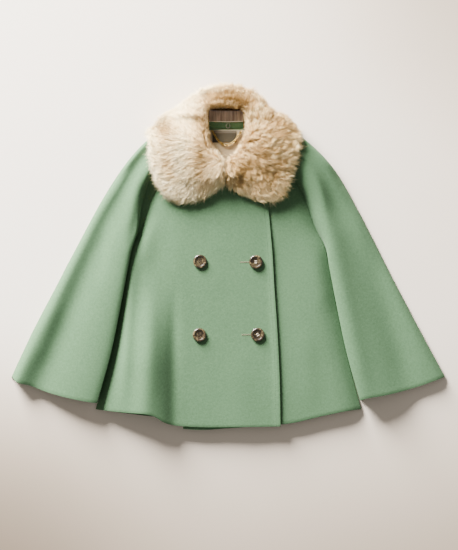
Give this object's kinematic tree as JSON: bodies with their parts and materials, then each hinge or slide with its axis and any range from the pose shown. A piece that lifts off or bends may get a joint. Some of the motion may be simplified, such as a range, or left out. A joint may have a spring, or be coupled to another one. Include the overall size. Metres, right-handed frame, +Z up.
{
  "type": "cape coat",
  "caption": "Short double-breasted wool cape coat with wide raglan sleeves and a rolled fur collar, laid flat on its back.",
  "frame": {"origin": "centre of the laid coat's outline, on the plane it rests on", "axes": "+Z up from the surface out of the coat's front, +Y towards the collar, +X across the coat towards the wearer's left sleeve"},
  "size_m": [0.868, 0.6903, 0.0593],
  "materials": {
    "wool": "brushed sage-green wool melton",
    "fur": "long cream and tan pile",
    "satin": "taupe satin",
    "lining": "smooth cream lining",
    "label": "bare woven khaki label",
    "horn": "polished marbled horn",
    "brass": "polished gold-coloured",
    "steel": "dull wire"
  },
  "bodies": {
    "root": {"back": "wool", "front_right": "wool", "front_left": "wool", "sleeve_right_front": "wool", "sleeve_right_back": "wool", "sleeve_left_front": "wool", "sleeve_left_back": "wool", "fur_collar": "fur", "collar_facing": "satin", "neck_band": "wool", "back_lining": "lining", "label": "label", "hanging_chain": "brass", "collar_eye": "steel", "button_right_upper": "horn", "button_right_lower": "horn", "button_left_upper": "horn", "button_left_lower": "horn"}
  },
  "joints": []
}
